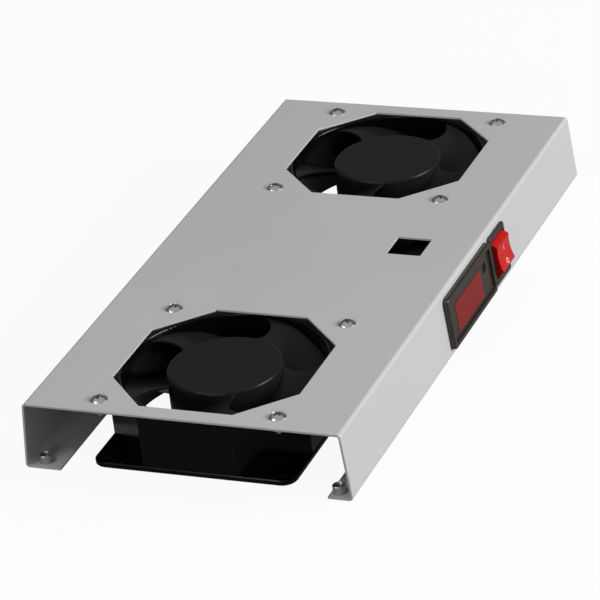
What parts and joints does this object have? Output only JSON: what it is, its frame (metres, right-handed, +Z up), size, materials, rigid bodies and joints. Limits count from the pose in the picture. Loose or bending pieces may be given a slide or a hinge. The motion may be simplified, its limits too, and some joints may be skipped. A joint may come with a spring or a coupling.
{
  "type": "cabinet fan module",
  "caption": "Folded steel tray with axial mains fans under octagonal openings, a panel thermostat and a lit rocker switch, for the roof or floor of an equipment cabinet.",
  "frame": {"origin": "middle of the four threaded bushes, on the underside of the lips", "axes": "+X towards the flange with the thermostat and switch, +Y along the tray away from its near end, +Z up through the plate"},
  "size_m": [0.1978, 0.39, 0.0425],
  "materials": {
    "tray_paint": "fine-textured light grey powder coat",
    "zinc_plate": "bright zinc plate",
    "screw_zinc": "bright zinc plate",
    "bearing_steel": "ground",
    "stack_steel": "varnished laminations",
    "copper": "enamelled copper",
    "tin_brass": "tinned brass",
    "frame_plastic": "gloss black moulding",
    "impeller_plastic": "satin black moulding",
    "cap_plastic": "satin black",
    "bezel_plastic": "gloss black moulding",
    "window_acrylic": "red tinted acrylic",
    "case_plastic": "satin black moulding",
    "display_plastic": "dark display block",
    "board_laminate": "green glass-fibre laminate",
    "relay_plastic": "blue relay case",
    "terminal_plastic": "green moulding",
    "key_plastic": "satin black",
    "rocker_plastic": "translucent red moulding",
    "lamp_glass": "clear glass",
    "strip_plastic": "natural polyamide"
  },
  "bodies": {
    "tray_assembly": {"tray": "tray_paint", "threaded_bushes": "zinc_plate", "near_fan_frame": "frame_plastic", "near_fan_terminals": "tin_brass", "near_stator_core": "stack_steel", "near_stator_coils": "copper", "near_lower_bearing": "bearing_steel", "near_upper_bearing": "bearing_steel", "near_bearing_cap": "cap_plastic", "near_fan_screws": "screw_zinc", "near_fan_nuts": "zinc_plate", "far_fan_frame": "frame_plastic", "far_fan_terminals": "tin_brass", "far_stator_core": "stack_steel", "far_stator_coils": "copper", "far_lower_bearing": "bearing_steel", "far_upper_bearing": "bearing_steel", "far_bearing_cap": "cap_plastic", "far_fan_screws": "screw_zinc", "far_fan_nuts": "zinc_plate", "thermostat_bezel": "bezel_plastic", "thermostat_window": "window_acrylic", "thermostat_case": "case_plastic", "thermostat_display": "display_plastic", "thermostat_display_board": "board_laminate", "thermostat_key_contact": "case_plastic", "thermostat_main_board": "board_laminate", "thermostat_relay": "relay_plastic", "thermostat_transformer": "stack_steel", "thermostat_terminals": "terminal_plastic", "thermostat_terminal_screws": "zinc_plate", "thermostat_clips": "case_plastic", "switch_body": "bezel_plastic", "switch_tabs": "tin_brass", "switch_lamp": "lamp_glass", "supply_terminal_strip": "strip_plastic", "supply_clamps": "tin_brass", "supply_clamp_screws": "zinc_plate", "supply_strip_studs": "zinc_plate", "supply_strip_nuts": "zinc_plate", "earth_stud": "zinc_plate", "earth_washer": "zinc_plate", "earth_nut": "zinc_plate"},
    "near_rotor": {"near_impeller": "impeller_plastic", "near_rotor_ring": "stack_steel", "near_shaft": "bearing_steel", "near_shaft_clip": "bearing_steel"},
    "far_rotor": {"far_impeller": "impeller_plastic", "far_rotor_ring": "stack_steel", "far_shaft": "bearing_steel", "far_shaft_clip": "bearing_steel"},
    "rocker": {"switch_rocker": "rocker_plastic", "switch_plungers": "tin_brass"},
    "contact_levers": {"switch_contact_levers": "copper"},
    "key": {"thermostat_key": "key_plastic"}
  },
  "joints": [
    {"name": "near_fan_spin", "type": "hinge", "parent": "tray_assembly", "child": "near_rotor", "pos_m": [0, -0.1295, 0.02], "axis": [0, 0, 1], "continuous": true},
    {"name": "far_fan_spin", "type": "hinge", "parent": "tray_assembly", "child": "far_rotor", "pos_m": [0, 0.1295, 0.02], "axis": [0, 0, 1], "continuous": true},
    {"name": "rocker_tilt", "type": "hinge", "parent": "tray_assembly", "child": "rocker", "pos_m": [0.09171, 0.053, 0.01979], "axis": [0, 1, 0], "range_deg": [0, 10]},
    {"name": "contact_tilt", "type": "hinge", "parent": "tray_assembly", "child": "contact_levers", "pos_m": [0.08414, 0.053, 0.01913], "axis": [0, 1, 0], "range_deg": [-10, 0]},
    {"name": "key_press", "type": "slide", "parent": "tray_assembly", "child": "key", "axis": [-0.9962, 0, -0.0872], "range_m": [0, 0.0005], "stiffness_N_per_m": 400, "springref_m": -0.0005}
  ],
  "couplings": [
    {"joint": "contact_tilt", "follows": "rocker_tilt", "ratio": -1}
  ]
}
